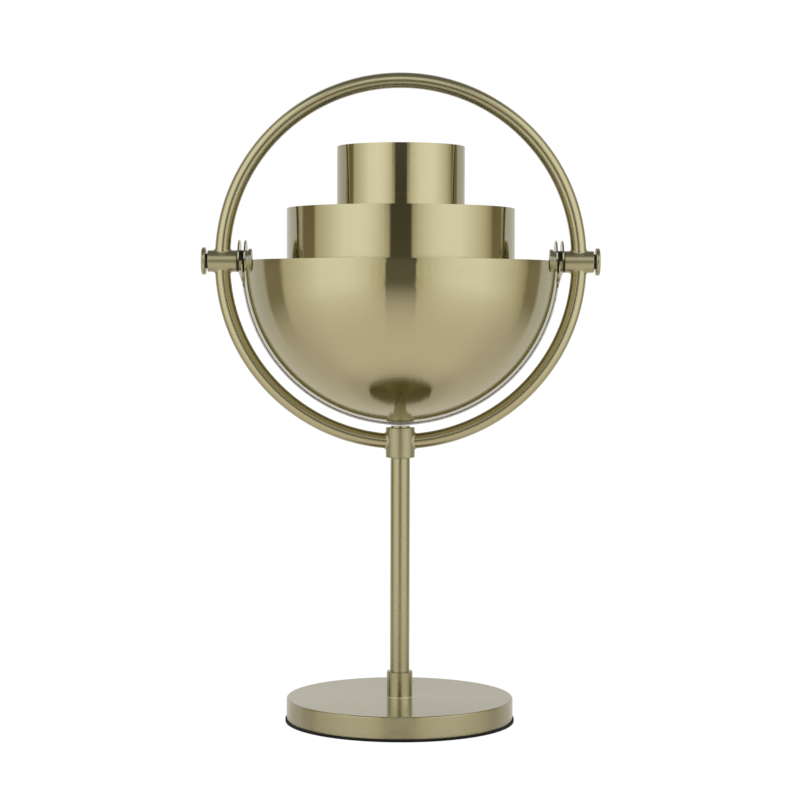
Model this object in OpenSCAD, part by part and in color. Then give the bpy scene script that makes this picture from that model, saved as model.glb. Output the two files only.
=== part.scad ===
// Dome shade desk lamp: a round base and stem carry a vertical ring; two quarter-round
// shades and a body of two stacked cylinders hang on the ring's horizontal pivots.
// Millimetres, +Z up, origin on the table under the middle of the base, -Y is the front.

/* [Base] */
// Diameter of the metal base
base_d = 175; // [150:1:200]
// Height of the metal base without its pad
base_h = 16.5; // [15.5:0.5:22]
// Wall of the base shell
base_wall = 1.5; // [1:0.1:2]
// Round of the base's top edge
base_edge_r = 1.2; // [0.4:0.1:1.4]
// Thickness of the pad under the base
pad_t = 2; // [1.5:0.1:3]
// How far the pad stands out past the base
pad_overhang = 1; // [0:0.1:2]
// Thickness of the bottom cover plate
cover_t = 1.2; // [1:0.1:2]
// Gap between the cover plate and the base shell's wall
cover_gap = 0.3; // [0.1:0.1:0.8]
// Gap round the ballast inside the base shell
ballast_gap = 1; // [0.5:0.1:2]
// Diameter of the wiring pocket under the ballast
pocket_d = 64; // [58:1:74]
// Depth of the wiring pocket and the cord channel
pocket_h = 10; // [9.6:0.1:11]
// Width of the cord channel
channel_w = 14; // [12:0.5:15]
// Distance of the cover screws from the middle
cover_screw_r = 62; // [50:1:66]

/* [Cord inlet] */
// Bore of the cord gland
gland_bore = 6.2; // [5:0.1:6.4]
// Wall of the gland's neck
gland_wall = 1; // [0.6:0.1:1.1]
// How far the gland's inner lip stands out past its neck
gland_lip = 0.7; // [0.3:0.1:0.7]
// Diameter of the gland's outer flange
gland_flange_d = 12; // [11:0.1:12.4]
// Length of each gland flange
gland_flange_t = 2.2; // [1.5:0.1:3]

/* [Stem] */
// Outer diameter of the stem tube
stem_d = 15; // [13.5:0.1:17]
// Wall of the stem tube
stem_wall = 1.2; // [0.8:0.1:1.5]
// Length of stem that shows between the collar and the hub
stem_len = 165.7; // [120:0.1:240]
// Diameter of the collar at the stem's foot
collar_d = 20; // [19:0.1:26]
// Height of the collar
collar_h = 19.8; // [14:0.1:26]
// Thickness of the collar's floor under the stem tube
collar_floor = 6; // [4:0.5:9]
// Chamfer of the collar's top edge
collar_chamfer = 0.5; // [0.2:0.1:0.8]
// Diameter of the hollow tie tube inside the stem
tie_d = 10; // [9:0.1:10.4]
// Bore of the tie tube
tie_bore = 7; // [6.4:0.1:7.6]

/* [Ring frame] */
// Outer diameter of the ring tube
ring_tube_d = 11.8; // [10:0.1:13]
// Wall of the ring tube
ring_tube_wall = 1; // [0.8:0.1:1.4]
// Straight length between the upper and the lower half of the ring
ring_straight = 3.3; // [0:0.1:6]
// Diameter of the pivot bosses
boss_d = 16.7; // [15:0.1:20]
// Length of the pivot bosses
boss_len = 22.6; // [18:0.1:28]
// Round of the bosses' and the hub's end edges
boss_edge_r = 0.7; // [0.3:0.1:1]
// Diameter of the hub under the ring
hub_d = 22.4; // [20:0.1:26]
// Height of the hub above the middle of the ring tube
hub_above = 11; // [8.5:0.1:11.2]
// Height of the hub below the middle of the ring tube
hub_below = 12.3; // [11.5:0.1:16]
// Depth that the ring tube and the stem tube enter the hub
hub_seat = 3; // [2:0.1:3.4]
// Diameter of the plug in the top of the hub
plug_d = 15; // [13:0.1:18]

/* [Shades] */
// Radius of the front shade's round outside
shade_r = 120.5; // [112:0.5:130]
// Extra depth of the shades, by which their arc's middle lies off the pivot axis
shade_drop = 3.6; // [0:0.1:6]
// Wall of the shades
shade_wall = 1; // [0.8:0.1:1.2]
// Gap between the nested shades
shade_gap = 1; // [0.6:0.1:1.5]
// Diameter of the shades' round pivot ears
ear_d = 32.4; // [28:0.1:38]
// Thickness of the pivot ears
ear_t = 1.2; // [1:0.1:1.5]
// Gap between the rear shade and the hub's plug
plug_gap = 0.4; // [0.3:0.1:0.8]

/* [Pivots] */
// Diameter of the hollow pivot axle
axle_d = 10; // [9:0.1:11]
// Bore of the pivot axle
axle_bore = 7; // [6.4:0.1:7.6]
// Radial clearance of the shades' ears on the axle
run_clear = 0.05; // [0.02:0.01:0.09]
// Sideways play between an ear and each neighbour
side_play = 0.1; // [0.05:0.01:0.2]
// Diameter of the pivot washers
washer_d = 16.6; // [14.5:0.1:18]
// Thickness of the friction washer between the two ears
friction_washer_t = 3.4; // [2.6:0.1:4]
// Thickness of the thin washer against the boss
boss_washer_t = 1; // [0.6:0.1:1.5]
// Thickness of the metal washer beside the arm
arm_washer_t = 1.7; // [1:0.1:2.5]
// Diameter of the end knobs
knob_d = 21; // [18:0.1:26]
// Thickness of the end knobs
knob_t = 3.2; // [2.6:0.1:4]
// Wall of the spacer ring between knob and boss
spacer_wall = 0.6; // [0.4:0.1:1.5]
// Length of the spacer ring
spacer_t = 1.4; // [1:0.1:2.5]

/* [Inner body] */
// Outer diameter of the large cylinder
large_d = 175; // [160:1:182]
// Height of the large cylinder above the pivot axis
large_top = 40.3; // [34:0.1:50]
// Depth of the large cylinder below the pivot axis
large_bottom = 24; // [18:0.1:24.5]
// Outer diameter of the small cylinder
small_d = 98; // [90:1:120]
// Height of the small cylinder above the pivot axis
small_top = 87.7; // [78:0.1:94]
// Wall of both cylinders
body_wall = 1; // [0.8:0.1:1.2]
// Height of the carrier plate above the pivot axis
carrier_h = 26; // [22:0.1:30]
// Thickness of the carrier plate
carrier_t = 1.2; // [1:0.1:1.6]
// Depth of the carrier plate's turned-down edge
carrier_rim = 8; // [5:0.5:10]
// Width of the small cylinder's inner flange
small_flange = 7; // [6.5:0.1:9]

/* [Arms and bridge] */
// Width of the arms that carry the inner body
arm_w = 12; // [10:0.5:14]
// Thickness of the arms
arm_t = 2.3; // [1.8:0.1:2.6]
// Diameter of the arms' round ears
arm_ear_d = 19; // [17.5:0.1:22]
// Depth of the arms below the pivot axis
arm_drop = 22; // [21:0.5:24]
// Inside radius of the arms' bends
arm_bend_r = 2; // [1:0.1:2.4]
// Depth below the pivot axis where the arm's and bridge's tabs end
tab_top = 3; // [2:0.1:3.5]
// Distance of the upper arm screw from the tab's end
arm_screw_inset = 3.5; // [3.2:0.1:3.8]
// Spacing of the two arm screws
arm_screw_pitch = 7; // [6.2:0.1:7.2]
// Width of the lamp holder's bridge
bridge_w = 20; // [18:0.5:26]
// Thickness of the bridge
bridge_t = 2; // [1.5:0.1:2.4]
// Depth of the bridge's upper face below the pivot axis
bridge_drop = 24; // [22:0.1:24]

/* [Lamp holder and bulb] */
// Diameter of the lamp holder's foot
holder_d = 28; // [25:0.5:32]
// Height of the lamp holder
holder_h = 38; // [36:0.5:42]
// Diameter of the lamp holder's barrel
barrel_d = 22; // [19.5:0.5:24]
// Wall of the contact sleeve in the holder
sleeve_wall = 0.6; // [0.4:0.1:0.8]
// Diameter of the bulb's cap
bulb_cap_d = 13.8; // [13:0.1:14]
// Length of the bulb's cap
bulb_cap_len = 24; // [22:0.5:25]
// Diameter of the bulb
bulb_d = 45; // [35:1:48]
// Length of the bulb with its cap
bulb_len = 78; // [74:1:84]
// Wall of the bulb's glass
bulb_wall = 0.8; // [0.6:0.1:1]

/* [Wiring and fasteners] */
// Diameter of the inner lead
lead_d = 3.6; // [3:0.1:3.8]
// Bend radius of the inner lead
lead_bend_r = 6; // [5.5:0.1:6.4]
// Tighter bend radius of the lead at the pivot and the terminals
lead_tight_r = 5; // [4.4:0.1:5.2]
// Depth of the lead's run below the pivot axis
lead_drop = 33; // [32.6:0.1:35]
// Diameter of the small screws
screw_d = 3; // [2.5:0.1:3.2]
// Diameter of the cover screws
cover_screw_d = 4; // [3:0.1:4.5]
// Width across flats of the nuts
nut_w = 14; // [13:0.1:15]
// Height of the nuts
nut_h = 3.5; // [3:0.1:3.6]
// Clearance of fixed fits
fit = 0.05; // [0.02:0.01:0.08]

/* [Hidden] */
$fn = 96;
left = -1;
right = 1;
past = 1;          // how far a cutter runs past what it cuts

// colours
brass = "#b5a876";
steel = "#a9abac";
iron = "#3c3d3f";
black = "#1a1a1a";
white = "#f1efe8";
opal = "#fbf3e0";

// base, from the table up
base_r = base_d / 2;
shell_z = pad_t;
cover_z = pad_t + cover_t;
base_top = pad_t + base_h;
ballast_top = base_top - base_wall;
ballast_r = base_r - base_wall - ballast_gap;
pocket_top = cover_z + pocket_h;
gland_neck_d = gland_bore + 2 * gland_wall;
gland_lip_d = gland_neck_d + 2 * gland_lip;
gland_z = cover_z + 5.1;
washer_t = 1;      // lock washer under the tie nut
tie_nut_z = pocket_top - washer_t - nut_h;
thread_proud = 0.5;
tie_foot = tie_nut_z - thread_proud;
block_size = [20, 9, 9.2];
block_y = 15.5;
clamp_size = [27, 8, 2];
clamp_y = 42;
clamp_room = 5.9;  // height left for the cord between the clamp and the channel's roof
clamp_screw_x = 10;
cover_screw_len = 9;
cover_screw_count = 3;

// pivot stack, from the front shade's ear outward along the pivot axis
rear_r = shade_r + shade_gap + shade_wall;
front_ear_out = sqrt(pow(shade_r, 2) - pow(ear_d / 2 - shade_drop, 2));
front_ear_in = front_ear_out - ear_t;
friction_x = front_ear_out + side_play;
rear_ear_in = friction_x + friction_washer_t + side_play;
rear_ear_out = rear_ear_in + ear_t;
boss_washer_x = rear_ear_out + side_play;
boss_x = boss_washer_x + boss_washer_t;
spacer_x = boss_x + boss_len;
knob_x = spacer_x + spacer_t;
arm_washer_x = front_ear_in - side_play - arm_washer_t;
arm_ear_in = arm_washer_x - arm_t;
knob_bore_h = knob_t * 0.6;
axle_len = knob_x + knob_bore_h - arm_ear_in;
dish_r = washer_d / 2 + 0.6;
dish_end_r = ear_d / 2 + 1.3;
dish_end_x = sqrt(pow(rear_r, 2) - pow(dish_end_r - shade_drop, 2));

// ring, hub and stem
ring_r = boss_x + boss_len / 2;
ring_bore = ring_tube_d - 2 * ring_tube_wall;
collar_top = base_top + collar_h;
hub_z = collar_top + stem_len;
ring_bottom = hub_z + hub_below;
pivot_h = ring_bottom + ring_r + ring_straight / 2;
ring_low_z = pivot_h - ring_straight / 2;
ring_high_z = pivot_h + ring_straight / 2;
hub_top = ring_bottom + hub_above;
shade_floor = pivot_h - rear_r - shade_drop;
plug_top = shade_floor - plug_gap;
plug_shank_d = 10.5;
plug_shank_len = 3.2;
stem_foot = base_top + collar_floor;
tie_top = ring_bottom - ring_bore / 2;
wire_hole_d = 7;

// inner body
large_r = large_d / 2;
large_in_r = large_r - body_wall;
small_r = small_d / 2;
carrier_z = pivot_h + carrier_h;
small_z = carrier_z + carrier_t;
carrier_hole_r = small_r - body_wall - small_flange;
carrier_screw_r = small_r - body_wall - small_flange / 2;
carrier_screw_count = 3;
screw_head_d = 1.85 * screw_d;
screw_head_h = 0.6 * screw_d;
upper_screw_z = pivot_h - tab_top - arm_screw_inset;
arm_screw_z = [upper_screw_z, upper_screw_z - arm_screw_pitch];

// lamp holder and bulb, from the bridge up
bridge_z = pivot_h - bridge_drop;
holder_foot_h = 8;
nipple_foot = bridge_z - bridge_t - nut_h - thread_proud;
nipple_top = bridge_z + 5;
sleeve_d = bulb_cap_d + 2 * sleeve_wall + 2 * fit;
sleeve_z = bridge_z + holder_h - bulb_cap_len - 1;
contact_z = sleeve_z;
contact_t = 0.8;
bulb_z = contact_z + contact_t + 2;
bulb_tip = bulb_z + bulb_len;
glass_z = bulb_z + bulb_cap_len;
glass_neck_r = 11;
globe_z = bulb_tip - bulb_d / 2;
globe_angle = 40;

// inner lead
lead_low_z = cover_z + lead_d / 2 + 0.4;
lead_base_r = 4;
lead_axle_z = pivot_h - (axle_bore - lead_d) / 2 + 0.1;
lead_run_z = pivot_h - lead_drop;
lead_out_x = -arm_ear_in + 2.5;
lead_drop_x = lead_out_x + lead_tight_r;
lead_hole_d = lead_d + 1.4;

// ---- shapes that repeat ----

// a disc or a rod along +Z with rounded end edges
module rounded_rod(d, h, edge) {
    rotate_extrude() {
        square([d / 2 - edge, h]);
        translate([0, edge]) square([d / 2, h - 2 * edge]);
        translate([d / 2 - edge, edge]) circle(edge);
        translate([d / 2 - edge, h - edge]) circle(edge);
    }
}

// a straight tube along +Z, open at both ends
module tube(d, bore, h) {
    difference() {
        cylinder(d = d, h = h);
        translate([0, 0, -past]) cylinder(d = bore, h = h + 2 * past);
    }
}

// turns +Z outward along the pivot axis, on the left or the right side
module along_pivot(side) {
    translate([0, 0, pivot_h]) rotate([0, side * 90, 0]) children();
}

// a washer on the pivot axle, x from the middle of the lamp
module pivot_washer(side, x, d, t) {
    along_pivot(side) translate([0, 0, x]) tube(d, axle_d + 2 * fit, t);
}

// an arc of round rod in the ring's plane; angles run from +X towards +Z
module ring_arc(d, centre_z, from, to) {
    translate([0, 0, centre_z]) rotate([90, 0, 0]) rotate([0, 0, from])
        rotate_extrude(angle = to - from) translate([ring_r, 0]) circle(d = d);
}

// a screw along -Z: rounded head above z = 0 with a crossed slot, shank below
module pan_screw(d, len) {
    slot_w = d / 4;
    difference() {
        union() {
            rounded_rod(screw_head_d, screw_head_h, screw_head_h * 0.4);
            translate([0, 0, -len]) cylinder(d = d, h = len + screw_head_h / 2);
        }
        for (a = [0, 90]) rotate(a)
            translate([-d / 2, -slot_w / 2, screw_head_h * 0.5]) cube([d, slot_w, screw_head_h]);
    }
}

// a hexagon nut along +Z
module hex_nut(bore) {
    difference() {
        cylinder(d = nut_w / cos(30), h = nut_h, $fn = 6);
        translate([0, 0, -past]) cylinder(d = bore, h = nut_h + 2 * past);
    }
}

// one bend of a folded strip, drawn flat: a quarter ring turned by angle a
module strip_bend(centre, inner_r, t, a) {
    translate(centre) rotate(a) intersection() {
        difference() {
            circle(inner_r + t);
            circle(inner_r);
        }
        square(inner_r + t);
    }
}

// ---- base ----

module base_pad() {
    color(black) cylinder(r = base_r + pad_overhang, h = pad_t);
}

// the places round the middle where the cover's screws sit
module at_cover_screws() {
    for (i = [0 : cover_screw_count - 1])
        rotate(30 + i * 360 / cover_screw_count)
            translate([cover_screw_r, 0, shell_z]) children();
}

// a countersunk screw, or with grow the hole for it
module sunk_screw(grow) {
    head_r = cover_screw_d * 0.95 + grow;
    shank_r = cover_screw_d / 2 + grow;
    head_h = cover_screw_d * 0.45;
    cylinder(r1 = head_r, r2 = shank_r, h = head_h);
    cylinder(r = shank_r, h = cover_screw_len + grow);
}

module base_cover() {
    color(steel) difference() {
        translate([0, 0, shell_z]) cylinder(r = base_r - base_wall - cover_gap, h = cover_t);
        at_cover_screws() sunk_screw(fit);
    }
}

module cover_screws() {
    color(steel) at_cover_screws() difference() {
        sunk_screw(0);
        for (a = [0, 90]) rotate(a)
            translate([-1.5, -0.35, -past]) cube([3, 0.7, past + 0.8]);
    }
}

module base_weight() {
    color(iron) difference() {
        translate([0, 0, cover_z]) cylinder(r = ballast_r, h = ballast_top - cover_z);
        translate([0, 0, cover_z - past]) cylinder(d = pocket_d, h = pocket_h + past);
        translate([-channel_w / 2, 0, cover_z - past]) cube([channel_w, base_r, pocket_h + past]);
        translate([-clamp_size.x / 2 - 0.5, clamp_y - clamp_size.y / 2 - 0.5, cover_z - past])
            cube([clamp_size.x + 1, clamp_size.y + 1, pocket_top - clamp_room - cover_z + past]);
        for (side = [left, right])
            translate([side * clamp_screw_x, clamp_y, cover_z]) cylinder(d = screw_d + 2 * fit, h = pocket_h);
        cylinder(d = tie_d + 2 * fit, h = base_top);
        at_cover_screws() sunk_screw(fit);
    }
}

module base_shell() {
    color(brass) difference() {
        translate([0, 0, shell_z]) rotate_extrude() difference() {
            union() {
                square([base_r - base_edge_r, base_h]);
                square([base_r, base_h - base_edge_r]);
                translate([base_r - base_edge_r, base_h - base_edge_r]) circle(base_edge_r);
            }
            translate([-past, -past]) square([base_r - base_wall + past, base_h - base_wall + past]);
        }
        translate([0, 0, ballast_top - past])
            cylinder(d = tie_d + 2 * fit, h = base_wall + 2 * past);
        translate([0, base_r - base_wall - past, gland_z]) rotate([-90, 0, 0])
            cylinder(d = gland_neck_d + 2 * fit, h = base_wall + 3 * past);
    }
}

// ---- cord inlet and terminals ----

module cord_gland() {
    inner_y = base_r - base_wall - gland_flange_t;
    length = base_wall + 2 * gland_flange_t;
    color(black) translate([0, 0, gland_z]) difference() {
        union() {
            translate([0, inner_y, 0]) rotate([-90, 0, 0]) cylinder(d = gland_neck_d, h = length);
            intersection() {
                translate([0, inner_y, 0]) rotate([-90, 0, 0])
                    cylinder(d = gland_lip_d, h = gland_flange_t + past);
                translate([0, 0, -base_h]) cylinder(r = base_r - base_wall - fit, h = 2 * base_h);
            }
            difference() {
                translate([0, base_r - past, 0]) rotate([-90, 0, 0])
                    cylinder(d = gland_flange_d, h = gland_flange_t + past);
                translate([0, 0, -base_h]) cylinder(r = base_r + fit, h = 2 * base_h);
            }
        }
        translate([0, inner_y - past, 0]) rotate([-90, 0, 0])
            cylinder(d = gland_bore, h = length + 2 * past);
    }
}

module cord_clamp() {
    color(white) difference() {
        translate([-clamp_size.x / 2, clamp_y - clamp_size.y / 2, pocket_top - clamp_room - clamp_size.z])
            cube(clamp_size);
        for (side = [left, right])
            translate([side * clamp_screw_x, clamp_y, cover_z]) cylinder(d = screw_d + 2 * fit, h = pocket_h);
    }
}

module clamp_screws() {
    color(steel) for (side = [left, right])
        translate([side * clamp_screw_x, clamp_y, pocket_top - clamp_room - clamp_size.z])
            rotate([180, 0, 0]) pan_screw(screw_d, clamp_size.z + 4.5);
}

module terminal_block() {
    port_d = 3;
    color(white) translate([-block_size.x / 2, block_y, pocket_top - block_size.z]) difference() {
        cube(block_size);
        for (i = [0 : 2]) {
            x = block_size.x / 2 + (i - 1) * block_size.x / 3;
            translate([x, block_size.y + past, lead_d / 2 + 1.5]) rotate([90, 0, 0])
                cylinder(d = port_d, h = 4 + past);
            translate([x, block_size.y / 2, -past]) cylinder(d = port_d, h = 2 + past);
        }
    }
}

// ---- stem ----

module tie_washer() {
    color(steel) translate([0, 0, pocket_top - washer_t]) tube(1.8 * tie_d, tie_d + 2 * fit, washer_t);
}

module tie_nut() {
    color(steel) translate([0, 0, tie_nut_z]) hex_nut(tie_d + 2 * fit);
}

module tie_tube() {
    color(steel) translate([0, 0, tie_foot]) tube(tie_d, tie_bore, tie_top - tie_foot);
}

module stem_collar() {
    color(brass) translate([0, 0, base_top]) difference() {
        union() {
            cylinder(d = collar_d, h = collar_h - collar_chamfer);
            translate([0, 0, collar_h - collar_chamfer])
                cylinder(d1 = collar_d, d2 = collar_d - 2 * collar_chamfer, h = collar_chamfer);
        }
        translate([0, 0, -past]) cylinder(d = tie_d + 2 * fit, h = collar_floor + 2 * past);
        translate([0, 0, collar_floor]) cylinder(d = stem_d + 2 * fit, h = collar_h);
    }
}

module stem_tube() {
    color(brass) translate([0, 0, stem_foot])
        tube(stem_d, stem_d - 2 * stem_wall, hub_z + hub_seat - stem_foot);
}

// ---- ring frame ----

// angle from straight down at which a ring tube ends inside the hub
seat_angle = asin((hub_d / 2 - hub_seat) / ring_r);
// angle from straight down to which the hub's seats are cut, well past its side
cut_angle = 2 * asin(hub_d / 2 / ring_r);

module ring_hub() {
    color(brass) difference() {
        translate([0, 0, hub_z]) rounded_rod(hub_d, hub_above + hub_below, boss_edge_r);
        translate([0, 0, hub_z - past]) cylinder(d = stem_d + 2 * fit, h = hub_seat + past);
        cylinder(d = tie_d + 2 * fit, h = ring_bottom);
        ring_arc(ring_bore, ring_low_z, 270 - cut_angle, 270 + cut_angle);
        ring_arc(ring_tube_d + 2 * fit, ring_low_z, 270 - cut_angle, 270 - seat_angle);
        ring_arc(ring_tube_d + 2 * fit, ring_low_z, 270 + seat_angle, 270 + cut_angle);
        translate([0, 0, ring_bottom]) cylinder(d = plug_shank_d + 2 * fit, h = hub_above + past);
    }
}

module hub_plug() {
    color(brass) {
        translate([0, 0, hub_top]) cylinder(d = plug_d, h = plug_top - hub_top);
        translate([0, 0, hub_top - plug_shank_len]) cylinder(d = plug_shank_d, h = plug_shank_len + 0.2);
    }
}

// the bosses' outside, with the brazing gap, taken off the ring tubes' ends
module boss_cut() {
    for (side = [left, right])
        along_pivot(side) translate([0, 0, boss_x - past])
            cylinder(d = boss_d + 2 * fit, h = boss_len + 2 * past);
}

// a length of ring tube, saddled to the bosses
module ring_part(centre_z, from, to) {
    color(brass) difference() {
        ring_arc(ring_tube_d, centre_z, from, to);
        ring_arc(ring_bore, centre_z, from - 1, to + 1);
        boss_cut();
    }
}

module ring_lower_left() {
    ring_part(ring_low_z, 180, 270 - seat_angle);
}

module ring_lower_right() {
    ring_part(ring_low_z, 270 + seat_angle, 360);
}

module ring_arch() {
    ring_part(ring_high_z, 0, 180);
}

// ---- pivots ----

// the hole by which the lead passes from the ring tube into the axle
module wire_hole(side) {
    translate([side * ring_r, 0, pivot_h - boss_d]) cylinder(d = wire_hole_d, h = boss_d);
}

module pivot_boss(side) {
    color(brass) difference() {
        along_pivot(side) translate([0, 0, boss_x]) rounded_rod(boss_d, boss_len, boss_edge_r);
        along_pivot(side) translate([0, 0, boss_x - past])
            cylinder(d = axle_d + 2 * fit, h = boss_len + 2 * past);
        wire_hole(side);
    }
}

module pivot_axle(side) {
    color(steel) difference() {
        along_pivot(side) translate([0, 0, arm_ear_in]) tube(axle_d, axle_bore, axle_len);
        wire_hole(side);
    }
}

module knob_spacer(side) {
    color(black) pivot_washer(side, spacer_x, axle_d + 2 * fit + 2 * spacer_wall, spacer_t);
}

module pivot_knob(side) {
    color(brass) along_pivot(side) translate([0, 0, knob_x]) difference() {
        rounded_rod(knob_d, knob_t, knob_t * 0.35);
        translate([0, 0, -past]) cylinder(d = axle_d + 2 * fit, h = knob_bore_h + past + fit);
    }
}

module boss_washer(side) {
    color(black) pivot_washer(side, boss_washer_x, washer_d, boss_washer_t);
}

module friction_washer(side) {
    color(black) pivot_washer(side, friction_x, washer_d, friction_washer_t);
}

module arm_washer(side) {
    color(steel) pivot_washer(side, arm_washer_x, washer_d, arm_washer_t);
}

// ---- arms that carry the inner body ----

module arm(side) {
    outer_r = arm_bend_r + arm_t;
    ear_out = arm_ear_in + arm_t;
    color(brass) rotate([0, 0, side == left ? 180 : 0]) difference() {
        union() {
            translate([0, 0, pivot_h]) rotate([90, 0, 0]) linear_extrude(arm_w, center = true) {
                translate([arm_ear_in, outer_r - arm_drop]) square([arm_t, arm_drop - outer_r]);
                strip_bend([ear_out - outer_r, outer_r - arm_drop], arm_bend_r, arm_t, 270);
                translate([large_r + outer_r, -arm_drop])
                    square([ear_out - large_r - 2 * outer_r, arm_t]);
                strip_bend([large_r + outer_r, outer_r - arm_drop], arm_bend_r, arm_t, 180);
                translate([large_r - past, outer_r - arm_drop])
                    square([arm_t + past, arm_drop - outer_r - tab_top]);
            }
            translate([arm_ear_in, 0, pivot_h]) rotate([0, 90, 0]) cylinder(d = arm_ear_d, h = arm_t);
        }
        translate([arm_ear_in - past, 0, pivot_h]) rotate([0, 90, 0])
            cylinder(d = axle_d + 2 * fit, h = arm_t + 2 * past);
        translate([0, 0, pivot_h - 2 * arm_drop]) cylinder(r = large_r + fit, h = 2 * arm_drop);
        translate([-lead_drop_x, 0, pivot_h - arm_drop - past])
            cylinder(d = lead_hole_d, h = arm_t + 2 * past);
        for (z = arm_screw_z)
            translate([large_r - 2 * past, 0, z]) rotate([0, 90, 0])
                cylinder(d = screw_d + 2 * fit, h = arm_t + 4 * past);
    }
}

module arm_screws() {
    color(steel) for (side = [left, right], z = arm_screw_z)
        rotate([0, 0, side == left ? 180 : 0]) translate([large_r + arm_t, 0, z])
            rotate([0, 90, 0]) pan_screw(screw_d, arm_t + body_wall + bridge_t + 1);
}

// ---- shades ----

// the wall of a shade as a flat outline: distance from the axis by place along it
module shade_outline(r, ear_out) {
    intersection() {
        difference() {
            translate([shade_drop, 0]) circle(r, $fn = 180);
            translate([shade_drop, 0]) circle(r - shade_wall, $fn = 180);
        }
        translate([ear_d / 2 - past, -ear_out]) square([2 * r, 2 * ear_out]);
    }
}

// turns a shade's outline, from the angle given, measured from straight down to the back
module about_pivot(from, sweep) {
    translate([0, 0, pivot_h]) rotate([0, 90, 0]) rotate([0, 0, from])
        rotate_extrude(angle = sweep) children();
}

module ear_bores(reach) {
    for (side = [left, right])
        along_pivot(side) translate([0, 0, reach - 4 * ear_t])
            cylinder(d = axle_d + 2 * run_clear, h = 8 * ear_t);
}

module front_shade() {
    color(brass) difference() {
        union() {
            about_pivot(-90, 90) shade_outline(shade_r, front_ear_out);
            for (side = [left, right])
                along_pivot(side) translate([0, 0, front_ear_in]) cylinder(d = ear_d, h = ear_t);
        }
        ear_bores(front_ear_out);
    }
}

// half of the rear ear is flat; the half towards the shade is dished to meet its wall
module rear_dish() {
    for (side = [left, right]) {
        translate([0, side > 0 ? rear_ear_in : -rear_ear_out]) square([dish_r, ear_t]);
        polygon([
            [dish_r, side * rear_ear_in],
            [dish_r, side * rear_ear_out],
            [dish_end_r, side * dish_end_x],
            [dish_end_r, side * (dish_end_x - shade_wall)]
        ]);
    }
}

module rear_shade() {
    color(brass) difference() {
        union() {
            about_pivot(0, 90) intersection() {
                shade_outline(rear_r, dish_end_x + 0.01);
                translate([dish_end_r - 0.3, -2 * rear_r]) square([2 * rear_r, 4 * rear_r]);
            }
            about_pivot(-90, 180) rear_dish();
            about_pivot(90, 180) for (side = [left, right])
                translate([0, side > 0 ? rear_ear_in : -rear_ear_out]) square([ear_d / 2, ear_t]);
        }
        ear_bores(rear_ear_out);
    }
}

// ---- inner body ----

module large_cylinder() {
    color(brass) translate([0, 0, pivot_h - large_bottom]) difference() {
        tube(large_d, 2 * large_in_r, large_top + large_bottom);
        for (z = arm_screw_z)
            translate([-large_d, 0, z - pivot_h + large_bottom]) rotate([0, 90, 0])
                cylinder(d = screw_d + 2 * fit, h = 2 * large_d);
    }
}

module at_carrier_screws(z) {
    for (i = [0 : carrier_screw_count - 1])
        rotate(90 + i * 360 / carrier_screw_count) translate([carrier_screw_r, 0, z]) children();
}

module carrier_plate() {
    color(white) difference() {
        translate([0, 0, small_z - carrier_rim]) rotate_extrude() {
            translate([carrier_hole_r, carrier_rim - carrier_t])
                square([large_in_r - fit - carrier_hole_r, carrier_t]);
            translate([large_in_r - fit - carrier_t, 0]) square([carrier_t, carrier_rim]);
        }
        at_carrier_screws(carrier_z - past) cylinder(d = screw_d + 2 * fit, h = carrier_t + 2 * past);
    }
}

module small_cylinder() {
    color(brass) difference() {
        translate([0, 0, small_z]) rotate_extrude() {
            translate([small_r - body_wall, 0]) square([body_wall, small_top - carrier_h - carrier_t]);
            translate([carrier_hole_r, 0]) square([small_flange + body_wall / 2, body_wall]);
        }
        at_carrier_screws(small_z - past) cylinder(d = screw_d + 2 * fit, h = body_wall + 2 * past);
    }
}

module carrier_screws() {
    color(steel) at_carrier_screws(small_z + body_wall) pan_screw(screw_d, body_wall + carrier_t + 3);
}

// ---- lamp holder and bulb ----

module holder_bridge() {
    color(steel) difference() {
        intersection() {
            union() {
                translate([-large_r, -bridge_w / 2, bridge_z - bridge_t])
                    cube([large_d, bridge_w, bridge_t]);
                for (side = [left, right])
                    translate([side * (large_r - bridge_t / 2 - body_wall) - bridge_t / 2 - past / 2,
                               -bridge_w / 2, bridge_z - bridge_t])
                        cube([bridge_t + past, bridge_w, bridge_drop + bridge_t - tab_top]);
            }
            translate([0, 0, bridge_z - bridge_t]) cylinder(r = large_in_r - fit, h = 2 * bridge_drop);
        }
        translate([0, 0, bridge_z - bridge_t - past])
            cylinder(d = tie_d + 2 * fit, h = bridge_t + 2 * past);
        for (z = arm_screw_z)
            translate([-large_r, 0, z]) rotate([0, 90, 0]) cylinder(d = screw_d + 2 * fit, h = large_d);
    }
}

module holder_nipple() {
    color(steel) translate([0, 0, nipple_foot]) tube(tie_d, tie_bore, nipple_top - nipple_foot);
}

module holder_nut() {
    color(steel) translate([0, 0, bridge_z - bridge_t - nut_h]) hex_nut(tie_d + 2 * fit);
}

module lamp_holder() {
    color(black) translate([0, 0, bridge_z]) difference() {
        union() {
            rounded_rod(holder_d, holder_foot_h, 1);
            cylinder(d = barrel_d, h = holder_h);
        }
        translate([0, 0, -past]) cylinder(d = tie_d + 2 * fit, h = nipple_top - bridge_z + past + fit);
        cylinder(d = wire_hole_d, h = holder_h);
        translate([0, 0, sleeve_z - bridge_z]) cylinder(d = sleeve_d + 2 * fit, h = holder_h);
    }
}

module contact_sleeve() {
    color(brass) translate([0, 0, sleeve_z + contact_t + 1])
        tube(sleeve_d, sleeve_d - 2 * sleeve_wall, bulb_cap_len - 1);
}

module centre_contact() {
    color(brass) translate([0, 0, contact_z]) {
        cylinder(d = sleeve_d - 1, h = contact_t);
        cylinder(d = 4, h = contact_t + 1.9);
    }
}

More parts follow.
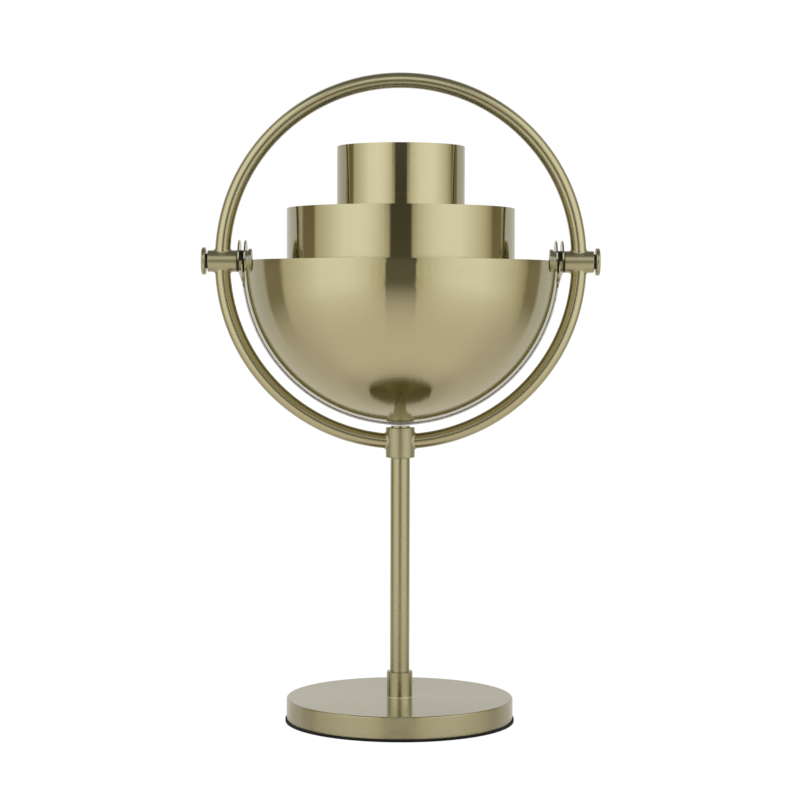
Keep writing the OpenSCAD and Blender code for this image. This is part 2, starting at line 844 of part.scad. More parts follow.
module bulb_cap() {
    tip_h = 3;
    cone_d = bulb_cap_d / 2;
    color(steel) translate([0, 0, bulb_z]) {
        cylinder(d = 0.7 * cone_d, h = tip_h);
        translate([0, 0, tip_h / 2]) cylinder(d1 = cone_d, d2 = bulb_cap_d, h = tip_h);
        translate([0, 0, 1.5 * tip_h]) cylinder(d = bulb_cap_d, h = bulb_cap_len - 1.5 * tip_h);
    }
}

// half section of the bulb's glass: a globe with a cone down to its neck
module bulb_section(r, neck_r, foot_z) {
    cone_z = globe_z - r * sin(globe_angle);
    cone_r = r * cos(globe_angle);
    neck_z = cone_z - (cone_r - neck_r) / tan(globe_angle);
    intersection() {
        union() {
            translate([0, globe_z]) circle(r);
            polygon([[0, foot_z], [neck_r, foot_z], [neck_r, neck_z], [cone_r, cone_z], [0, cone_z]]);
        }
        translate([0, foot_z]) square(2 * bulb_len);
    }
}

module bulb_glass() {
    color(opal) rotate_extrude() difference() {
        bulb_section(bulb_d / 2, glass_neck_r, glass_z);
        bulb_section(bulb_d / 2 - bulb_wall, glass_neck_r - bulb_wall, glass_z + bulb_wall);
    }
}

// ---- inner lead: terminals, stem, left half of the ring, left pivot, lamp holder ----

// points of a bend in the ring's plane, round the middle [x, z], without its first point
function lead_bend(x, z, r, from, to, steps = 6) =
    [for (i = [1 : steps]) let (a = from + (to - from) * i / steps) [x + r * cos(a), 0, z + r * sin(a)]];

// angles, from straight down and from the left, where the ring's arc meets its two bends
hub_angle = asin(lead_bend_r / (ring_r + lead_bend_r));
boss_angle = asin((ring_low_z - lead_axle_z + lead_tight_r) / (ring_r - lead_tight_r));
hub_bend_z = ring_low_z - (ring_r + lead_bend_r) * cos(hub_angle);
boss_bend_x = -(ring_r - lead_tight_r) * cos(boss_angle);
boss_bend_z = lead_axle_z - lead_tight_r;
base_bend_z = lead_low_z + lead_base_r;

lead_path = concat(
    [[0, block_y, lead_low_z]],
    [for (a = [270 : -15 : 180]) [0, lead_base_r * (1 + cos(a)), base_bend_z + lead_base_r * sin(a)]],
    [[0, 0, hub_bend_z]],
    lead_bend(-lead_bend_r, hub_bend_z, lead_bend_r, 0, 90 - hub_angle),
    lead_bend(0, ring_low_z, ring_r, 270 - hub_angle, 180 + boss_angle, 24),
    lead_bend(boss_bend_x, boss_bend_z, lead_tight_r, 180 + boss_angle, 90),
    [[lead_out_x, 0, lead_axle_z]],
    lead_bend(lead_out_x, boss_bend_z, lead_tight_r, 90, 0),
    [[lead_drop_x, 0, lead_run_z + lead_tight_r]],
    lead_bend(lead_drop_x + lead_tight_r, lead_run_z + lead_tight_r, lead_tight_r, 180, 270),
    [[-lead_bend_r, 0, lead_run_z]],
    lead_bend(-lead_bend_r, lead_run_z + lead_bend_r, lead_bend_r, 270, 360),
    [[0, 0, nipple_top + 2]]
);

// the ring of points round place i of the path, square to the path there
function lead_ring(i, sides) =
    let (
        last = len(lead_path) - 1,
        step = lead_path[min(i + 1, last)] - lead_path[max(i - 1, 0)],
        t = step / norm(step),
        u = abs(t.y) > 0.001 ? [1, 0, 0] : cross([0, 1, 0], t),
        v = cross(t, u)
    )
    [for (k = [0 : sides - 1]) let (a = 360 * k / sides)
        lead_path[i] + lead_d / 2 * (cos(a) * u + sin(a) * v)];

module inner_lead() {
    sides = 10;
    rings = len(lead_path);
    points = [for (i = [0 : rings - 1]) each lead_ring(i, sides)];
    walls = [
        for (i = [0 : rings - 2], k = [0 : sides - 1])
            let (a = i * sides + k, b = i * sides + (k + 1) % sides)
                each [[a, a + sides, b], [b, a + sides, b + sides]]
    ];
    first_end = [for (k = [1 : sides - 2]) [0, k, k + 1]];
    last_end = [for (k = [1 : sides - 2]) [0, k + 1, k] + (rings - 1) * sides * [1, 1, 1]];
    color(white) polyhedron(points = points, faces = concat(walls, first_end, last_end));
}

// ---- the nodes ----

base_pad();
base_cover();
cover_screws();
base_weight();
base_shell();
cord_gland();
cord_clamp();
clamp_screws();
terminal_block();
tie_washer();
tie_nut();
tie_tube();
stem_collar();
stem_tube();
ring_hub();
hub_plug();
ring_lower_left();
ring_lower_right();
ring_arch();
pivot_boss(left);  // pivot_boss_left
pivot_boss(right);  // pivot_boss_right
pivot_axle(left);  // pivot_axle_left
pivot_axle(right);  // pivot_axle_right
knob_spacer(left);  // knob_spacer_left
knob_spacer(right);  // knob_spacer_right
pivot_knob(left);  // pivot_knob_left
pivot_knob(right);  // pivot_knob_right
boss_washer(left);  // boss_washer_left
boss_washer(right);  // boss_washer_right
friction_washer(left);  // friction_washer_left
friction_washer(right);  // friction_washer_right
arm_washer(left);  // arm_washer_left
arm_washer(right);  // arm_washer_right
arm(left);  // arm_left
arm(right);  // arm_right
rear_shade();
front_shade();
large_cylinder();
carrier_plate();
small_cylinder();
carrier_screws();
arm_screws();
holder_bridge();
holder_nipple();
holder_nut();
lamp_holder();
contact_sleeve();
centre_contact();
bulb_cap();
bulb_glass();
inner_lead();
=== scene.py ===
# %% [markdown]
# # A brushed brass table lamp
# A round base and a stem carry a standing ring. Two quarter-round shades and a pair of open
# cylinders hang on the ring's pivots. The construction arrives as a fixed frame of separate
# parts at their real size. This lesson gives each part its finish and adds the small things
# that a maker's hand leaves, such as the brazed joints. Lengths are in metres.

# %% Load the frame
import math

import bmesh
import bpy
from mathutils import Matrix, Vector


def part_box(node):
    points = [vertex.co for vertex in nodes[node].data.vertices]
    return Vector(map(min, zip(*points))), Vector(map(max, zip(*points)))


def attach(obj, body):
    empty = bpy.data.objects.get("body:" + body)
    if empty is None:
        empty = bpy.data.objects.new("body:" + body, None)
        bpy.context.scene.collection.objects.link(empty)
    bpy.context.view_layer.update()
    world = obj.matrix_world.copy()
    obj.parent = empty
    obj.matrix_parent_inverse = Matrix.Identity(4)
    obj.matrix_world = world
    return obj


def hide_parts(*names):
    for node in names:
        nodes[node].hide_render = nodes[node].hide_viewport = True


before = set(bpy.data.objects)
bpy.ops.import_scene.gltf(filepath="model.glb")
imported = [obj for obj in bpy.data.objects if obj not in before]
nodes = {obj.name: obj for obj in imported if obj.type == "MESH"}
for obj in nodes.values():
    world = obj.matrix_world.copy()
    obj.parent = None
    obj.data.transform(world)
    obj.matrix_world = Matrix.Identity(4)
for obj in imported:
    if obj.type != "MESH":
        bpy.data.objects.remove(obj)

scene = bpy.context.scene
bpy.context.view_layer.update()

# %% [markdown]
# ## Heights and radii from the frame
# Nothing here is typed twice. The pivot axis, the bosses, the ring and the hub are read from
# the boxes of the parts, so that what is added later sits on them.

# %% Read the main sizes
def middle(node):
    """The middle of a part's box."""
    low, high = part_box(node)
    return (low + high) / 2


def across(node, axis):
    """How wide a part is along an axis, 0 to 2."""
    low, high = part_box(node)
    return high[axis] - low[axis]


pivot_height = middle("pivot_axle_left").z
boss_radius = across("pivot_boss_right", 2) / 2
ring_radius = middle("pivot_boss_right").x
ring_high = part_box("ring_arch")[1].z - across("ring_arch", 1) / 2 - ring_radius
ring_low = 2 * pivot_height - ring_high      # the two arcs' middles lie a little apart
ring_tube_radius = across("ring_arch", 1) / 2
hub_radius = across("ring_hub", 0) / 2
print("pivot axis at", round(pivot_height, 5), "ring radius", round(ring_radius, 5))

# %% [markdown]
# ## Camera
# The lamp was photographed from the height of its shades, with a long lens.
# The camera could be level with a shifted lens, which keeps uprights parallel. It is pitched
# down a little instead: a shift would push the lamp out of the middle in every other view.
# The picture leans by a fraction of a degree, and the camera's roll follows it.

# %% Set up the camera
camera_place = Vector((-0.0003, -1.668, 0.3185))
camera_pitch = math.radians(2.409)
camera_roll = math.radians(0.15)
camera_lens = 97.40       # this and the film are in millimetres, as photographers count them
film_width = 36
camera = bpy.data.objects.new("camera", bpy.data.cameras.new("camera"))
scene.collection.objects.link(camera)
camera.data.lens = camera_lens
camera.data.sensor_width = film_width
look = Matrix.Rotation(math.pi / 2 - camera_pitch, 4, "X") @ Matrix.Rotation(camera_roll, 4, "Z")
camera.matrix_world = Matrix.Translation(camera_place) @ look
scene.camera = camera
scene.view_settings.view_transform = "Standard"
print("camera at", [round(x, 3) for x in camera.location], "lens", camera.data.lens)

# %% [markdown]
# ## Shader sums as plain sums
# A shader tree is a drawing of a formula. Writing the formula itself is shorter and easier to
# read, so a small class wraps one output socket and turns +, -, * and / into Math nodes. All
# other nodes come from one method, which sets what a node is before it fills its sockets.

# %% Wrap a socket
class Signal:
    """One output socket of a tree. Sums on it add Math nodes."""

    def __init__(self, tree, socket):
        self.tree = tree
        self.socket = socket

    def math(self, operation, *others):
        """This socket and others through one Math node."""
        return self.tree.math(operation, self, *others)

    def __add__(self, other):
        return self.math("ADD", other)

    def __sub__(self, other):
        return self.math("SUBTRACT", other)

    def __rsub__(self, other):
        return self.tree.math("SUBTRACT", other, self)

    def __mul__(self, other):
        return self.math("MULTIPLY", other)

    def __truediv__(self, other):
        return self.math("DIVIDE", other)

    def __rtruediv__(self, other):
        return self.tree.math("DIVIDE", other, self)

    __radd__ = __add__
    __rmul__ = __mul__

    def between(self, low, high):
        """0 below low, 1 above high, and a smooth rise in between."""
        settings = {"interpolation_type": "SMOOTHSTEP"}
        return self.tree.add("ShaderNodeMapRange", settings, [self, low, high, 0.0, 1.0])


print("a socket knows", [name for name in vars(Signal) if not name.startswith("_")])

# %% Wrap a tree
class Tree:
    """The node tree of a material or world, emptied and ready to build."""

    def __init__(self, owner):
        owner.use_nodes = True
        self.tree = owner.node_tree
        self.tree.nodes.clear()

    def add(self, kind, settings=None, inputs=None, out=0):
        """A new node: its settings first, then values or links for its sockets."""
        node = self.tree.nodes.new(kind)
        for name, value in (settings or {}).items():
            if name == "stops":
                self.set_stops(node.color_ramp, value)
            else:
                setattr(node, name, value)
        pairs = inputs.items() if isinstance(inputs, dict) else enumerate(inputs or [])
        for key, value in pairs:
            if isinstance(value, Signal):
                self.tree.links.new(value.socket, node.inputs[key])
            else:
                node.inputs[key].default_value = value
        return Signal(self, node.outputs[out]) if len(node.outputs) else node

    @staticmethod
    def set_stops(ramp, stops):
        """Give a colour ramp these places and colours."""
        while len(ramp.elements) < len(stops):
            ramp.elements.new(0.5)
        for element, (place, shade) in zip(ramp.elements, stops):
            element.position = place
            element.color = shade

    def math(self, operation, *values):
        return self.add("ShaderNodeMath", {"operation": operation}, values)

    def vector_math(self, operation, *vectors, out=0):
        return self.add("ShaderNodeVectorMath", {"operation": operation}, vectors, out)

    def scaled(self, vector, size):
        """A vector or colour times a number."""
        inputs = {"Vector": vector, "Scale": size}
        return self.add("ShaderNodeVectorMath", {"operation": "SCALE"}, inputs)

    def mix(self, factor, low, high):
        """One colour turning into another."""
        return self.add("ShaderNodeMix", {"data_type": "RGBA"}, {0: factor, 6: low, 7: high}, 2)

    def split(self, vector):
        """The three parts of a vector."""
        return [self.add("ShaderNodeSeparateXYZ", None, [vector], out) for out in "XYZ"]

    def join(self, x, y, z):
        return self.add("ShaderNodeCombineXYZ", None, [x, y, z])

    def place(self):
        """Where a point lies on the part, whatever pose the lamp is in."""
        return self.add("ShaderNodeTexCoord", out="Object")

    def facing(self):
        """Which way the surface faces, on the part."""
        return self.add("ShaderNodeTexCoord", out="Normal")


def finish(name):
    """A new material and its tree."""
    material = bpy.data.materials.new(name)
    return material, Tree(material)


def close(tree, surface):
    """End a material's tree with what it is made of."""
    tree.add("ShaderNodeOutputMaterial", None, [surface])


print("a tree knows", [name for name in vars(Tree) if not name.startswith("_")])

# %% Name colours
def grey(level):
    """A neutral colour for a socket."""
    return (level, level, level, 1.0)


def colour(red, green, blue):
    """A colour as a picture gives it, 0 to 255, turned into light."""
    shares = [x / 255 for x in (red, green, blue)]
    light = [x / 12.92 if x <= 0.04045 else ((x + 0.055) / 1.055) ** 2.4 for x in shares]
    return (*light, 1.0)


print("a mid brass is", [round(x, 3) for x in colour(181, 168, 118)])

# %% [markdown]
# ## Room and floor
# The lamp stands in an even white room. The world is plain white, and so is the floor for
# the eye and in the metal. A part of the floor stays ordinary paint, so that the lamp still
# leaves a faint shadow under its base.

# %% Make the room
world = bpy.data.worlds.new("white_room")
scene.world = world
room = Tree(world)
room.add("ShaderNodeOutputWorld", None, [room.add("ShaderNodeBackground", None, [grey(1.0), 1.0])])
print("the world is", world.name)

# %% Lay the floor
floor_half_width = 12.0
floor_drop = 0.0002       # the floor lies this far under the lamp, so the two never flicker
floor_white = 0.92
floor_glow_share = 0.88
floor_glow = 1.09
bpy.ops.mesh.primitive_plane_add(size=2 * floor_half_width, location=(0, 0, -floor_drop))
floor = bpy.context.object
floor.name = "floor"
floor_paint, tree = finish("floor_paint")
ray_kinds = ("Camera", "Glossy", "Transmission")
rays = [tree.add("ShaderNodeLightPath", out=f"Is {kind} Ray") for kind in ray_kinds]
seen = rays[0].math("MAXIMUM", rays[1]).math("MAXIMUM", rays[2])
paint = tree.add("ShaderNodeBsdfDiffuse", None, [grey(floor_white)])
glow = tree.add("ShaderNodeEmission", None, [grey(1.0), floor_glow])
close(tree, tree.add("ShaderNodeMixShader", None, [seen * floor_glow_share, paint, glow]))
floor.data.materials.append(floor_paint)
print("floor is", 2 * floor_half_width, "m wide")

# %% [markdown]
# ## Light tent
# Polished metal shows the lights more than it shows itself. Two tall soft boxes stand left
# and right of the camera and fall off towards their edges, where their cloth also turns
# warmer. A dark gap is left where the camera stands, and another behind each box. White
# paper closes the circle at the back. All of it is one round wall of cloth, because lamps of
# the ordinary kind could not fall off so evenly. Near the floor a little stray light veils
# the wall, so its dark gaps are paler there. The wall is hidden from the camera, as such
# cloths are kept out of the picture.

# %% Join loops of points into a skin
def skin(name, loops, joined_up=False, capped=False, material=None):
    """A mesh through loops of points, each loop closed. joined_up also joins the last to the
    first, and capped closes both ends."""
    mesh = bmesh.new()
    rings = [[mesh.verts.new(point) for point in loop] for loop in loops]
    following = rings[1:] + (rings[:1] if joined_up else [])
    for ring, after in zip(rings, following):
        for i in range(len(ring)):
            j = (i + 1) % len(ring)
            mesh.faces.new((ring[i], ring[j], after[j], after[i]))
    if capped:
        mesh.faces.new(rings[0])
        mesh.faces.new(rings[-1])
    bmesh.ops.recalc_face_normals(mesh, faces=mesh.faces)
    data = bpy.data.meshes.new(name)
    mesh.to_mesh(data)
    mesh.free()
    data.polygons.foreach_set("use_smooth", [True] * len(data.polygons))
    piece = bpy.data.objects.new(name, data)
    scene.collection.objects.link(piece)
    if material:
        data.materials.append(material)
    return piece


def circle(radius, height, sides=128):
    """A level loop of points round the stem's axis."""
    turns = [2 * math.pi * i / sides for i in range(sides)]
    return [Vector((radius * math.cos(a), radius * math.sin(a), height)) for a in turns]


print("a circle has", len(circle(1, 0)), "points")

# %% Tint the cloths
warmer_green = 1.10
warmer_blue = 1.43


def cloth(share):
    """The colour of the tent's cloth where it is this bright: dimmer is warmer."""
    return (share, share ** warmer_green, share ** warmer_blue, 1.0)


def sheet_of(green, blue):
    """The colour of an even sheet by its brightness, with this much green and blue in it."""
    return lambda share: (share, green * share, blue * share, 1.0)


paper = sheet_of(green=0.98, blue=0.93)
dark_cloth = sheet_of(green=0.81, blue=0.57)
floor_paper = sheet_of(green=0.93, blue=0.85)
print("half-bright cloth is", [round(x, 2) for x in cloth(0.5)])

# %% Plan the tent's brightness
gap = 0.052               # the dark room behind the camera
side_gap = 0.17
# degrees round from the camera, and the share of the brightest place
left_cloth = [(113, side_gap), (96, side_gap), (92, 0.53), (78, 0.70), (68, 0.84), (58, 0.97),
              (42, 1.00), (32, 0.95), (24, 0.84), (16, 0.64), (11.5, 0.52)]
right_cloth = [(11.5, 0.52), (16, 0.64), (24, 0.80), (32, 0.92), (42, 0.98), (59, 1.00),
               (68, 0.91), (78, 0.79), (90, 0.61), (100, 0.36), (104, side_gap), (118, side_gap)]
dark_room = [(10, gap)]
left_paper = [(150, 0.44), (117, 0.41)]
right_paper = [(122, 0.43), (150, 0.42)]


def stops(profile, tint, side):
    """A profile as stops of a ramp, left (-1) or right (1) of the camera."""
    return [(0.5 + side * degrees / 360, tint(share)) for degrees, share in profile]


tent_stops = [*stops(left_paper, paper, -1), *stops(left_cloth, cloth, -1),
              *stops(dark_room, dark_cloth, -1), *stops(dark_room, dark_cloth, 1),
              *stops(right_cloth, cloth, 1), *stops(right_paper, paper, 1)]
print(len(tent_stops), "stops of brightness round the tent")

# %% Hang the light tent
tent_radius = 2.4
tent_height = 3.4
box_light = 1.40          # the boxes' brightest place; the white room is 1
low_haze = 0.15           # the share of stray light that veils the lower wall and the floor
haze_colour = cloth(0.6)
haze_from = 0.2
haze_to = 0.6


def tent_colour(tree):
    """The tent's colour by the direction from the lamp, and where the spot is."""
    x, y, z = tree.split(tree.add("ShaderNodeNewGeometry", out="Position"))
    turn = x.math("ARCTAN2", y * -1.0) / (2 * math.pi) + 0.5
    return tree.add("ShaderNodeValToRGB", {"stops": tent_stops}, [turn]), x, y, z


tent_cloth, tree = finish("tent_cloth")
wall, _, _, z = tent_colour(tree)
wall = tree.mix((1 - z.between(haze_from, haze_to)) * low_haze, wall, haze_colour)
close(tree, tree.add("ShaderNodeEmission", None, [wall, box_light]))
tent = skin("light_tent", [circle(tent_radius, 0), circle(tent_radius, tent_height)],
            material=tent_cloth)
tent.visible_camera = False
print("tent", tent_radius, "m round the lamp and", tent_height, "m high")

# %% [markdown]
# ## Ceiling
# The upper edge of the ring and of the bosses is dark in the metal, so the room over the
# tent is dim. A dim cloth lies over the tent like a lid.

# %% Cover the tent
ceiling_light = 0.22
ceiling_colour = (1.0, 0.95, 0.86, 1.0)
ceiling_eye = 0.01        # the lid is a flat skin round this small hole
ceiling_cloth, tree = finish("ceiling_cloth")
close(tree, tree.add("ShaderNodeEmission", None, [ceiling_colour, ceiling_light]))
ceiling = skin("ceiling", [circle(ceiling_eye, tent_height), circle(tent_radius, tent_height)],
               material=ceiling_cloth)
ceiling.visible_camera = False
print("ceiling at", tent_height, "m")

# %% [markdown]
# ## Top box
# The upper side of the ring carries a light band of its own, so one more soft box hangs in
# front, above the camera. Its light fades towards its edges.

# %% Hang the top box
top_box_away = 2.0
top_box_angle = math.radians(32)
top_box_place = Vector((0, -top_box_away * math.cos(top_box_angle),
                        pivot_height + top_box_away * math.sin(top_box_angle)))
top_box_half = Vector((0.60, 0.92, 0))
top_box_light = 1.15
top_box_colour = cloth(0.95)
top_box_edge = 0.5        # how much of each half fades
top_box_eye = 0.001       # the box is a flat skin round this small share of itself
top_cloth, tree = finish("top_cloth")


def faded(along, half):
    """1 over the middle of the box and 0 at its edge, by the way along one of its sides."""
    return 1 - (along / half).math("ABSOLUTE").between(1 - top_box_edge, 1.0)


x, y, _ = tree.split(tree.place())
lit = faded(x, top_box_half.x) * faded(y, top_box_half.y) * top_box_light
close(tree, tree.add("ShaderNodeEmission", None, [top_box_colour, lit]))
corners = [Vector((i * top_box_half.x, j * top_box_half.y, 0))
           for i, j in ((-1, -1), (1, -1), (1, 1), (-1, 1))]
towards = (Vector((0, 0, pivot_height)) - top_box_place).to_track_quat("-Z", "Y")
top_box = skin("top_box", [[corner * top_box_eye for corner in corners], corners],
               material=top_cloth)
top_box.matrix_world = Matrix.Translation(top_box_place) @ towards.to_matrix().to_4x4()
top_box.visible_camera = False
print("top box at", [round(x, 2) for x in top_box_place])

# %% [markdown]
# ## Apron
# Near the lamp the floor is as bright as the paper it is. Further out it takes the tone of
# the cloth that stands over it, so the dark gaps of the tent run on along the floor, under
# the same veil of stray light. That is why an upright dark line in the brass goes on
# downwards and then fades. A cloth apron round the lamp gives the metal this floor. The
# camera and the paint never see it.

# %% Lay the apron
apron_inner = 0.0887
apron_height = 0.0004
lit_from = 0.085          # beside the base the paper lies in its shade
lit_to = 0.20
shaded_paper = floor_paper(0.75)
open_paper = floor_paper(0.93)
behind = 0.80             # how bright the floor near the base is at the sides and behind
front_from = -0.1         # the front begins here, with -1 at the back and 1 at the camera
front_to = 0.7
toned_from = 0.22         # the tent's tone comes in between these distances
toned_to = 1.35

apron_cloth, tree = finish("apron_cloth")
wall, x, y, _ = tent_colour(tree)
away = (x * x + y * y).math("SQRT")
close_by = tree.mix(away.between(lit_from, lit_to), shaded_paper, open_paper)
in_front = (y * -1.0 / away).between(front_from, front_to)
close_by = tree.vector_math("MULTIPLY", close_by, tree.mix(in_front, grey(behind), grey(1.0)))
toned = tree.scaled(tree.mix(low_haze, wall, haze_colour), box_light)
shown = tree.mix(away.between(toned_from, toned_to), close_by, toned)
close(tree, tree.add("ShaderNodeEmission", None, [shown, 1.0]))
apron = skin("apron", [circle(apron_inner, apron_height), circle(tent_radius, apron_height)],
             material=apron_cloth)
apron.visible_camera = False
apron.visible_diffuse = False
apron.visible_shadow = False
print("apron from", apron_inner, "to", tent_radius, "m")

# %% [markdown]
# ## Brushed brass
# The lamp is turned and brushed brass under clear lacquer. Brushing leaves hair-fine grooves
# that run round each part. They spread every reflection across the grooves and keep it sharp
# along them, which is why the soft boxes show as clean upright bands. A noise could stand in
# for the grooves, but it sparkles. So the relief is a sum of three fine waves across the
# grooves, and a slow noise bends the waves a little, as a hand does. A wider, very faint
# streak is left in the colour. The lacquer is a thin clear coat that turns pale where it is
# seen at a low angle.
#
# Some parts differ a little. On the thin ring and the pivots the grooves are all but polished
# out, and an even blur takes their place. The upright edge of the base has a painted shade,
# darker than its top. The foot of the collar has a painted highlight where it meets the base,
# a bright line of less than half a millimetre.

# %% Follow the grooves
face_step = 0.6           # the grooves on a boss's face lie wider apart than round its side
ring_drift = 0.2          # the ring's streaks drift this slowly along it


def round_stem(tree):
    """Grooves round the stem's axis: the step across them, and two slow directions."""
    x, y, z = tree.split(tree.place())
    off_axis = (x * x + y * y).math("SQRT")
    return z + off_axis, x, y


def round_pivot(tree):
    """Grooves round the pivot axis."""
    x, y, z = tree.split(tree.place())
    up = z - pivot_height
    off_axis = (y * y + up * up).math("SQRT")
    return x + off_axis * face_step, y, z


def round_tube(tree):
    """Grooves round the ring's own tube, so the step is the way along the ring."""
    x, y, z = tree.split(tree.place())
    angle = (z - pivot_height).math("ARCTAN2", x)
    return angle * ring_radius, y, x * ring_drift + z * ring_drift


print("grooves run round the stem, the pivot axis or the ring's tube")

# %% Brush a surface
brass_colour = (0.45, 0.415, 0.245)
lacquer = 0.7             # how much of the clear coat is left
groove_pitches = (0.00021, 0.00015, 0.00011)
groove_length = 0.03      # how far along a groove the hand keeps its way
groove_sway = 9.0         # how far the slow noise pushes the waves, in radians
groove_reading = 0.01     # the relief is read this finely, in pixels, as the grooves are far finer
streak_pitch = 0.0016
streak_tones = (0.965, 1.03)      # the darkest and the lightest streak
streak_blur = 0.03        # how much the gloss changes from streak to streak
side_facing = 0.3         # up to this much upward the surface is an upright side
top_facing = 0.7          # and from here it is a level top
# painted highlight: the colour, blur and fade of a bright line at the collar's foot
painted_highlight_colour = (0.80, 0.75, 0.52, 1.0)
painted_highlight_blur = 0.4
painted_highlight_fade = 0.0001
steepness = 2 * math.pi * math.sqrt(sum(pitch ** -2 for pitch in groove_pitches) / 2)


def noise(tree, vector, scale, detail=2.0):
    """A soft noise, as a number from 0 to 1."""
    return tree.add("ShaderNodeTexNoise", {"noise_dimensions": "3D"},
                    {"Vector": vector, "Scale": scale, "Detail": detail, "Roughness": 0.55})


def brushed(tree, grooves, spread=0.075, gloss=0.06, tone=1.0, foot=None, side_tone=None):
    """A brushed, lacquered surface. spread is the grooves' own slope, gloss the blur along
    them, and tone how bright the metal is. Below the height foot it has a painted highlight,
    a bright line. side_tone is a painted shade: how bright an upright side is next to a level top."""
    step, slow_a, slow_b = grooves(tree)
    along = tree.join(slow_a / groove_length, slow_b / groove_length, step / streak_pitch)
    streak = noise(tree, along, 1.0)
    waves = [(step * (2 * math.pi / pitch) + streak * groove_sway).math("SINE")
             for pitch in groove_pitches]
    relief = tree.add("ShaderNodeBump", None, {
        "Strength": 1.0,
        "Distance": spread / steepness,
        "Filter Width": groove_reading,
        "Height": sum(waves[1:], waves[0]),
    })
    dark, light = [tuple(share * tone * x for x in brass_colour) + (1.0,) for share in streak_tones]
    metal = tree.mix(streak, dark, light)
    blur = streak * streak_blur + (gloss - streak_blur / 2)
    # painted shade: an upright side is made darker than the level top of the same metal
    if side_tone:
        _, _, upward = tree.split(tree.facing())
        level = upward.between(side_facing, top_facing)
        metal = tree.mix(level, tree.scaled(metal, side_tone), metal)
    # painted highlight: below the height foot the metal is painted as a bright line
    if foot:
        _, _, height = tree.split(tree.place())
        painted_highlight = 1 - height.between(foot, foot + painted_highlight_fade)
        metal = tree.mix(painted_highlight, metal, painted_highlight_colour)
        blur = blur + painted_highlight * painted_highlight_blur
    return tree.add("ShaderNodeBsdfPrincipled", None, {
        "Base Color": metal,
        "Metallic": 1.0,
        "Roughness": blur,
        "Normal": relief,
        "Coat Weight": lacquer,
        "Coat Roughness": 0.04,
        "Coat IOR": 1.5,
    })


print("the finest grooves lie", min(groove_pitches) * 1000, "mm apart")

# %% Make the brass
def brass(name, grooves, **how):
    """A material that is brushed brass all over."""
    material, tree = finish(name)
    close(tree, brushed(tree, grooves, **how))
    return material


# the painted highlight at the collar's foot is this high
painted_highlight_line = 0.0004
collar_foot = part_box("base_shell")[1].z + painted_highlight_line
turned_brass = brass("turned_brass", round_stem, spread=0.10, tone=0.86)
tube_brass = brass("tube_brass", round_stem, spread=0.17, gloss=0.09, tone=0.80)
# the base's upright side gets a painted shade, 0.8 as bright as its top
base_brass = brass("base_brass", round_stem, spread=0.24, side_tone=0.80)
pivot_brass = brass("pivot_brass", round_pivot, spread=0.02, gloss=0.29, tone=0.87)
ring_brass = brass("ring_brass", round_tube, spread=0.02, gloss=0.24, tone=0.97)
collar_brass = brass("collar_brass", round_stem, spread=0.10, gloss=0.05, tone=0.77, foot=collar_foot)
hub_brass = brass("hub_brass", round_stem, spread=0.10, gloss=0.38, tone=0.80)
print("brass finishes:", len([m for m in bpy.data.materials if m.name.endswith("_brass")]))

# %% [markdown]
# ## Brass outside, white inside
# The shades and cylinders are painted white inside to throw the light out. One sheet of
# metal has both finishes, so the material asks which way the surface faces: away from the
# middle of the part is brass, towards it is paint. The paint runs over the shades' thin edge,
# which shows as a light line beside them. The shades' round ears at the pivots and the
# cylinders' edges stay bare.

# %% Mix paint and metal on one sheet
edge_fade = 0.1           # how far on either side of the turn the paint thins out
bare_fade = 0.001
speck_scale = 900.0
speck_depth = 0.00004


def white_lacquer(tree):
    """Sprayed white, with the faint orange peel of a thick coat."""
    speck = noise(tree, tree.place(), speck_scale)
    inputs = {"Strength": 0.25, "Distance": speck_depth, "Height": speck}
    relief = tree.add("ShaderNodeBump", None, inputs)
    return tree.add("ShaderNodeBsdfPrincipled", None, {
        "Base Color": tree.mix(speck, grey(0.84), grey(0.90)),
        "Roughness": speck * 0.1 + 0.36,
        "Normal": relief,
    })


def painted_inside(name, middle_of_part, grooves, flat, turn, bare=0.0, **how):
    """Brass where the sheet faces out from the middle, white where it faces in. turn is how
    squarely it still faces out where one becomes the other, so below 0 the edge stays brass.
    flat leaves height out, for an upright cylinder. Nothing is painted within bare of the
    pivot axis."""
    material, tree = finish(name)
    keep = (1, 1, 0) if flat else (1, 1, 1)
    out = tree.vector_math("SUBTRACT", tree.place(), middle_of_part)
    out = tree.vector_math("NORMALIZE", tree.vector_math("MULTIPLY", out, keep))
    towards = tree.vector_math("DOT_PRODUCT", tree.facing(), out, out="Value")
    inside = 1 - towards.between(turn - edge_fade, turn + edge_fade)
    if bare:
        _, y, z = tree.split(tree.place())
        up = z - pivot_height
        inside = inside * (y * y + up * up).math("SQRT").between(bare, bare + bare_fade)
    close(tree, tree.add("ShaderNodeMixShader", None,
                         [inside, brushed(tree, grooves, **how), white_lacquer(tree)]))
    return material


print("the paint thins out over", bare_fade * 1000, "mm at the ears")

# %% Make the painted sheets
ear_share = 1.2           # bare metal reaches this many ear radii from the pivot axis
bare_ear = ear_share * (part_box("front_shade")[1].z - pivot_height)
ball_middle = Vector((0, 0, pivot_height))
shade_sheet = painted_inside("shade_sheet", ball_middle, round_stem, flat=False, turn=0.5,
                             bare=bare_ear, spread=0.022)
cylinder_sheet = painted_inside("cylinder_sheet", ball_middle, round_stem, flat=True, turn=-0.5,
                                spread=0.03)
print("painted sheets:", shade_sheet.name, cylinder_sheet.name)

# %% [markdown]
# ## The other finishes
# Steel, rubber, plastic, glass and paint are plain next to the brass, but none is one flat
# colour: each has a fine grain in its roughness and relief at the scale of the real stuff.

